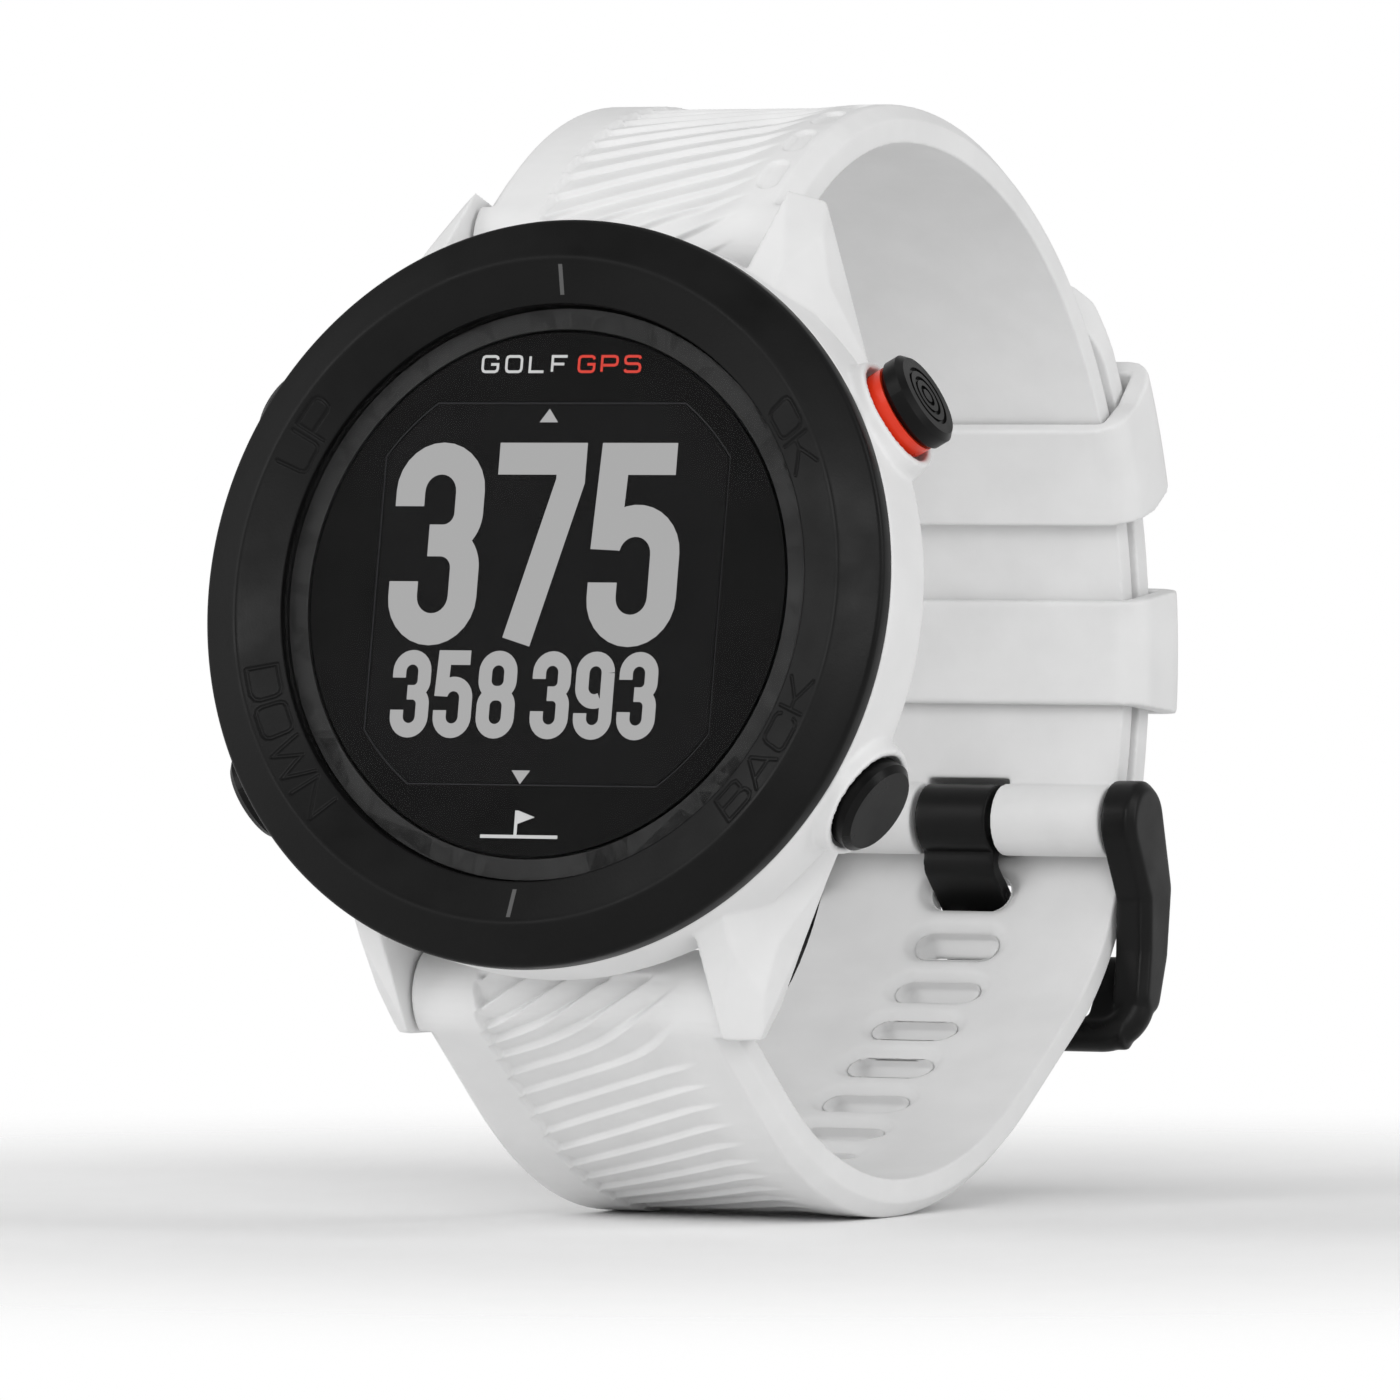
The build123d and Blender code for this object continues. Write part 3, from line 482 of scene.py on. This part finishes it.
def label(text, height, gap):
    """Strokes of a word, centred on x = 0, with its foot at y = 0."""
    strokes = []
    x = 0.0
    for letter in text:
        if letter == " ":
            x += height * 0.6
            continue
        parts = LABEL_STROKES[letter]
        strokes += [[(x + px * height, py * height) for px, py in part] for part in parts]
        x += max(px for part in parts for px, _ in part) * height + gap
    x -= gap
    return [[(px - x / 2, py) for px, py in part] for part in strokes], x


def digit_strokes(figure, w, h):
    """Centre lines of a figure in a w by h box."""
    r = w / 2
    waist = 0.52 * h
    top = arc(r, h - r, r, 180, 0)
    foot = arc(r, r, r, 0, -180)
    if figure == "3":
        q = 0.42 * w
        return [
            [(0, 0.72 * h), *top, (w, waist + q), *arc(w - q, waist + q, q, 0, -90), (0.36 * w, waist)],
            [(0.36 * w, waist), *arc(w - q, waist - q, q, 90, 0), *foot, (0, 0.28 * h)],
        ]
    if figure == "7":
        return [[(-0.22 * w, h), (w, h), (w, 0.87 * h), (0.30 * w, -0.07 * h)]]
    if figure == "5":
        shoulder = 0.64 * h
        return [
            [(w * 1.08, h), (0.06 * w, h), (0.0, 0.47 * h)],
            [*arc(r, shoulder - r, r, 165, 0), *foot, (0, 0.28 * h)],
        ]
    if figure == "8":
        q = 0.46 * w
        return [
            [*top, (w, waist + q), *arc(w - q, waist + q, q, 0, -90), *arc(q, waist + q, q, -90, -180),
             (0, h - r)],
            [*arc(q, waist - q, q, 180, 90), *arc(w - q, waist - q, q, 90, 0), *foot, (0, waist - q)],
        ]
    shoulder = 0.42 * h                                 # the 9
    return [
        [(w, h - r), *arc(r, h - r, r, 0, 180), (0, shoulder + r), *arc(r, shoulder + r, r, 180, 300)],
        [(w, h - r), *foot, (0, 0.26 * h)],
    ]


def ribbon(points, width):
    """Flat strip of even width along a line, with mitred corners: 2-D vertices and quads."""
    clean = [points[0]]
    for point in points[1:]:
        if hypot(point[0] - clean[-1][0], point[1] - clean[-1][1]) > 1e-4:
            clean.append(point)
    pts = np.array(clean)
    closed = np.hypot(*(pts[0] - pts[-1])) < 1e-3
    if closed:
        pts = pts[:-1]
    count = len(pts)
    vertices = []
    for k in range(count):
        before = pts[k] - pts[k - 1] if closed or k > 0 else pts[1] - pts[0]
        after = pts[(k + 1) % count] - pts[k] if closed or k < count - 1 else pts[k] - pts[k - 1]
        before = before / np.hypot(*before)
        after = after / np.hypot(*after)
        normal = np.array([-(before + after)[1], (before + after)[0]])
        normal /= max(np.hypot(*normal), 1e-6)
        stretch = 1 / max(normal @ np.array([-after[1], after[0]]), 0.45)
        vertices += [pts[k] + normal * width / 2 * stretch, pts[k] - normal * width / 2 * stretch]
    last = count if closed else count - 1
    faces = [(2 * k, 2 * k + 1, 2 * ((k + 1) % count) + 1, 2 * ((k + 1) % count)) for k in range(last)]
    return vertices, faces


def print_strokes(name, strokes, width, level, finish, body="watch", at=(0, 0)):
    """Flat printed strokes on the head at one height; each stroke steps up a hair so none coincide."""
    vertices, faces = [], []
    for number, stroke in enumerate(strokes):
        flat, quads = ribbon(stroke, width)
        base = len(vertices)
        lift = level + 0.002 * (number % 4)
        vertices += [(x + at[0], y + at[1], lift) for x, y in flat]
        faces += [tuple(base + i for i in quad) for quad in quads]
    made = piece(name, on_head(vertices), faces, finish, body, smooth=False)
    return made


def number(text, left, foot, width, height, stroke, pitch):
    strokes = []
    for k, figure in enumerate(text):
        if figure == " ":
            continue
        for line in digit_strokes(figure, width - stroke, height - stroke):
            strokes.append([(left + pitch * k + stroke / 2 + x, foot + stroke / 2 + y) for x, y in line])
    return strokes


BIG_LEFT, BIG_FOOT, BIG_W, BIG_H, BIG_STROKE, BIG_PITCH = -10.3, -3.05, 5.75, 11.9, 1.87, 6.45
SMALL_FOOT, SMALL_W, SMALL_H, SMALL_STROKE, SMALL_PITCH = -8.45, 2.45, 5.1, 0.82, 2.8
FRONT_LEFT, REAR_LEFT = -9.55, -0.45
TITLE_H, TITLE_STROKE, TITLE_FOOT = 0.9, 0.16, 13.0
big = number("375", BIG_LEFT, BIG_FOOT, BIG_W, BIG_H, BIG_STROKE, BIG_PITCH)
# the figures' material paints their glow by emission
print_strokes("distance_figures", big, BIG_STROKE, SCREEN_W, FIGURES_PAINTED_GLOW)
small = number("358", FRONT_LEFT, SMALL_FOOT, SMALL_W, SMALL_H, SMALL_STROKE, SMALL_PITCH)
small += number("393", REAR_LEFT, SMALL_FOOT, SMALL_W, SMALL_H, SMALL_STROKE, SMALL_PITCH)
print_strokes("edge_figures", small, 0.85, SCREEN_W, FIGURES_PAINTED_GLOW)
arrows = [(-1.35, 10.05), (-0.15, 10.05), (-0.75, 10.85), (-1.35, -10.3), (-0.15, -10.3), (-0.75, -11.1)]
piece("scroll_arrows", on_head([(x, y, SCREEN_W) for x, y in arrows]), [(0, 1, 2), (3, 5, 4)],
              FIGURES_PAINTED_GLOW, "watch", smooth=False)

word, _ = label("GOLF", TITLE_H, 0.55)
print_strokes("title_word", word, TITLE_STROKE, PRINT_W, WHITE_PRINT, at=(-2.55, TITLE_FOOT))
word, _ = label("GPS", TITLE_H, 0.5)
print_strokes("title_accent", word, TITLE_STROKE, PRINT_W, RED_PRINT, at=(2.95, TITLE_FOOT))
FLAG_AT = (-0.3, -13.45)
flag = [[(-0.45, -0.8), (-0.45, 0.8)], [(-2.7, -0.72), (2.3, -0.72)]]
print_strokes("flag_icon", flag, 0.2, PRINT_W, WHITE_PRINT, at=FLAG_AT)
cloth = [(-0.35, 0.8), (0.75, 0.42), (-0.35, 0.02)]
piece("flag_cloth", on_head([(x + FLAG_AT[0], y + FLAG_AT[1], PRINT_W + 0.006) for x, y in cloth]),
              [(0, 2, 1)], WHITE_PRINT, "watch", smooth=False)

outline = []
corner = degrees(acos(WINDOW_FLAT / WINDOW_R))
for quarter in range(4):
    outline += arc(0, 0, WINDOW_R - 0.05, 90 * quarter + corner, 90 * quarter + 90 - corner, 14)
# the window rim strip carries a painted glow along the window's edge
print_strokes("window_rim", [outline + outline[:1]], 0.09, SCREEN_W - 0.005, WINDOW_EDGE_PAINTED_GLOW)


# ---- bezel: a lathed ring whose inner cone carries the pressed labels ----
BEZEL_STEPS = 2400
CONE_ROWS = 50
LABEL_R, LABEL_H, LABEL_GAP = 18.15, 1.75, 0.42
GROOVE_HALF, GROOVE_DEPTH = 0.13, 0.09


def label_gap(theta, r):
    """Distance in mm to the nearest label stroke on the cone."""
    gap = np.full(theta.shape, 9.0)
    for text, angle, clockwise in (("UP", 150, 1), ("OK", 30, 1), ("DOWN", 210, -1), ("BACK", 330, -1)):
        strokes, long = label(text, LABEL_H, LABEL_GAP)
        span = degrees(long / 2 / LABEL_R) + 2
        turn = (theta - angle + 180) % 360 - 180
        near = np.abs(turn) < span
        x = -np.radians(turn[near]) * LABEL_R * clockwise
        y = (r[near] - LABEL_R) * clockwise + LABEL_H / 2
        here = gap[near]
        for stroke in strokes:
            for (x0, y0), (x1, y1) in zip(stroke, stroke[1:]):
                dx, dy = x1 - x0, y1 - y0
                k = np.clip(((x - x0) * dx + (y - y0) * dy) / (dx * dx + dy * dy), 0, 1)
                here = np.minimum(here, np.hypot(x - x0 - k * dx, y - y0 - k * dy))
        gap[near] = here
    return gap


cone = [(RIDGE_R - 0.28 - (RIDGE_R - 0.28 - CONE_R - 0.1) * k / CONE_ROWS,
         RIDGE_RISE - 0.095 - (RIDGE_RISE - 0.095 - 0.035) * k / CONE_ROWS) for k in range(CONE_ROWS + 1)]
profile = [
    (18.6, -1.75), (18.6, -3.2), (19.55, -3.2), (19.55, -1.26), (21.7, -1.25), (21.82, -1.2), (CASE_R, -1.1),
    (CASE_R, -0.35), (21.83, -0.22), (21.78, -0.12), (21.7, -0.03), (21.6, 0.03), (20.6, 0.43),
    (19.75, 0.775), (19.62, 0.83), (19.5, 0.865), (RIDGE_R, 0.87), (19.33, 0.855), (19.24, 0.82), *cone,
    (16.93, 0.015), (16.88, -0.02), (CONE_R, -0.08), (CONE_R, -0.95), (15.4, -0.95), (15.4, -1.75),
]
rows = len(profile)
theta = np.repeat(np.arange(BEZEL_STEPS) * 360 / BEZEL_STEPS, rows)
r = np.tile([p[0] for p in profile], BEZEL_STEPS)
w = np.tile([p[1] for p in profile], BEZEL_STEPS)
on_cone = (r < RIDGE_R) & (r > CONE_R) & (w > 0)
gap = np.full(len(r), 9.0)
gap[on_cone] = label_gap(theta[on_cone], r[on_cone])
w = w - GROOVE_DEPTH * (1 - smoothstep(GROOVE_HALF * 0.45, GROOVE_HALF, gap))
places = on_head(np.stack([r * np.cos(np.radians(theta)), r * np.sin(np.radians(theta)), w], 1))
index = np.arange(BEZEL_STEPS * rows).reshape(BEZEL_STEPS, rows)
after = np.roll(index, -1, 0)
below = np.roll(index, -1, 1)
quads = np.stack([index, after, np.roll(after, -1, 1), below], -1).reshape(-1, 4)
bezel = piece("bezel", places, quads, BLACK_BEZEL, "watch")
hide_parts("bezel_ring")

ticks, tick_faces = [], []
for sign in (1, -1):
    base = len(ticks)
    for x, v in ((-0.13, 17.35), (0.13, 17.35), (0.13, 19.05), (-0.13, 19.05)):
        ticks.append((x * sign, v * sign, 0.035 + (v - CONE_R - 0.1) * 0.745 / 2.18 + 0.012))
    tick_faces.append((base, base + 1, base + 2, base + 3))
piece("bezel_ticks", on_head(ticks), tick_faces, GREY_PAINT, "watch", smooth=False)

# ---- stage ----
FLOOR_R = 0.6
FLOOR_SIDES = 64
FADE_START, FADE_END = 0.03, 0.13                       # m from the centre, where the floor thins out
turns = [2 * pi * k / FLOOR_SIDES for k in range(FLOOR_SIDES)]
floor_shape = [(0, 0, 0)] + [(FLOOR_R * cos(turn), FLOOR_R * sin(turn), 0) for turn in turns]
floor_mesh = bpy.data.meshes.new("floor")
floor_faces = [(0, k + 1, (k + 1) % FLOOR_SIDES + 1) for k in range(FLOOR_SIDES)]
floor_mesh.from_pydata(floor_shape, [], floor_faces)
floor_object = bpy.data.objects.new("floor", floor_mesh)
collection.objects.link(floor_object)
FLOOR = surface("pale_floor", (0.96, 0.96, 0.96), 0.7, specular=0.1, grain=2.0, relief=0.002, wear=0.01)
tree = FLOOR.node_tree
place = tree.nodes.new("ShaderNodeTexCoord")
length = tree.nodes.new("ShaderNodeVectorMath")
length.operation = "LENGTH"
tree.links.new(place.outputs["Object"], length.inputs[0])
fade = tree.nodes.new("ShaderNodeMapRange")
fade.interpolation_type = "SMOOTHSTEP"
fade.inputs["From Min"].default_value = FADE_START
fade.inputs["From Max"].default_value = FADE_END
fade.inputs["To Min"].default_value = 1.0
fade.inputs["To Max"].default_value = 0.0
tree.links.new(length.outputs["Value"], fade.inputs["Value"])
tree.links.new(fade.outputs["Result"], tree.nodes["Principled BSDF"].inputs["Alpha"])
floor_mesh.materials.append(FLOOR)

# ---- studio ----
ROOM_STRENGTH = 0.98
FLOOR_GLOW, CEILING_GLOW = 0.9, 0.4                     # room brightness straight down and straight up
ROOM_STOPS = ((0.48, 0.75), (0.55, 0.6), (0.66, 0.52), (0.82, 0.42))
world = bpy.data.worlds.new("studio")
bpy.context.scene.world = world
world.use_nodes = True
tree = world.node_tree
room = tree.nodes["Background"]
paper = tree.nodes.new("ShaderNodeBackground")
paper.inputs["Color"].default_value = (1, 1, 1, 1)
paper.inputs["Strength"].default_value = 1.0
direction = tree.nodes.new("ShaderNodeTexCoord")
split = tree.nodes.new("ShaderNodeSeparateXYZ")
tree.links.new(direction.outputs["Generated"], split.inputs[0])
ramp = tree.nodes.new("ShaderNodeValToRGB")
ramp.color_ramp.interpolation = "EASE"
ramp.color_ramp.elements[0].position = 0.0
ramp.color_ramp.elements[0].color = (FLOOR_GLOW, FLOOR_GLOW, FLOOR_GLOW, 1)
ramp.color_ramp.elements[1].position = 1.0
ramp.color_ramp.elements[1].color = (CEILING_GLOW, CEILING_GLOW, CEILING_GLOW, 1)
for position, value in ROOM_STOPS:
    stop = ramp.color_ramp.elements.new(position)
    stop.color = (value, value, value, 1)
lift = tree.nodes.new("ShaderNodeMapRange")
lift.inputs["From Min"].default_value = -1.0
lift.inputs["From Max"].default_value = 1.0
tree.links.new(split.outputs["Z"], lift.inputs["Value"])
tree.links.new(lift.outputs["Result"], ramp.inputs["Fac"])
tree.links.new(ramp.outputs["Color"], room.inputs["Color"])
room.inputs["Strength"].default_value = ROOM_STRENGTH
path_info = tree.nodes.new("ShaderNodeLightPath")
choose = tree.nodes.new("ShaderNodeMixShader")
tree.links.new(path_info.outputs["Is Camera Ray"], choose.inputs[0])
tree.links.new(room.outputs[0], choose.inputs[1])
tree.links.new(paper.outputs[0], choose.inputs[2])
tree.links.new(choose.outputs[0], tree.nodes["World Output"].inputs["Surface"])


def area_light(name, place, aim, size, power):
    lamp = bpy.data.lights.new(name, "AREA")
    lamp.shape = "RECTANGLE"
    lamp.size, lamp.size_y = size
    lamp.energy = power
    holder = bpy.data.objects.new(name, lamp)
    collection.objects.link(holder)
    holder.location = place
    holder.rotation_euler = (Vector(aim) - Vector(place)).to_track_quat("-Z", "Y").to_euler()
    holder.visible_camera = False
    return holder


MIDDLE = (0, 0, 0.033)
area_light("top_softbox", (0.02, 0.02, 0.7), MIDDLE, (0.45, 0.45), 0.35)
area_light("left_softbox", (-0.55, -0.5, 0.3), MIDDLE, (0.4, 0.5), 1.8)
area_light("front_softbox", (0.25, -0.75, 0.35), MIDDLE, (0.5, 0.35), 2.3)
area_light("right_softbox", (0.65, 0.0, 0.35), MIDDLE, (0.3, 0.5), 1.3)

# ---- camera ----
CAMERA_FROM_HEAD = Vector((0.3683, -0.7176, 0.0111))   # from the centre of the bezel's front edge
LOOK = Vector((-0.4463, 0.8946, -0.0215))
LENS, SENSOR = 360, 36
camera_data = bpy.data.cameras.new("camera")
camera_data.lens = LENS
camera_data.sensor_width = SENSOR
camera = bpy.data.objects.new("camera", camera_data)
collection.objects.link(camera)
camera.location = HEAD + CAMERA_FROM_HEAD
camera.rotation_euler = LOOK.to_track_quat("-Z", "Y").to_euler()
bpy.context.scene.camera = camera
bpy.context.scene.view_settings.view_transform = "Standard"
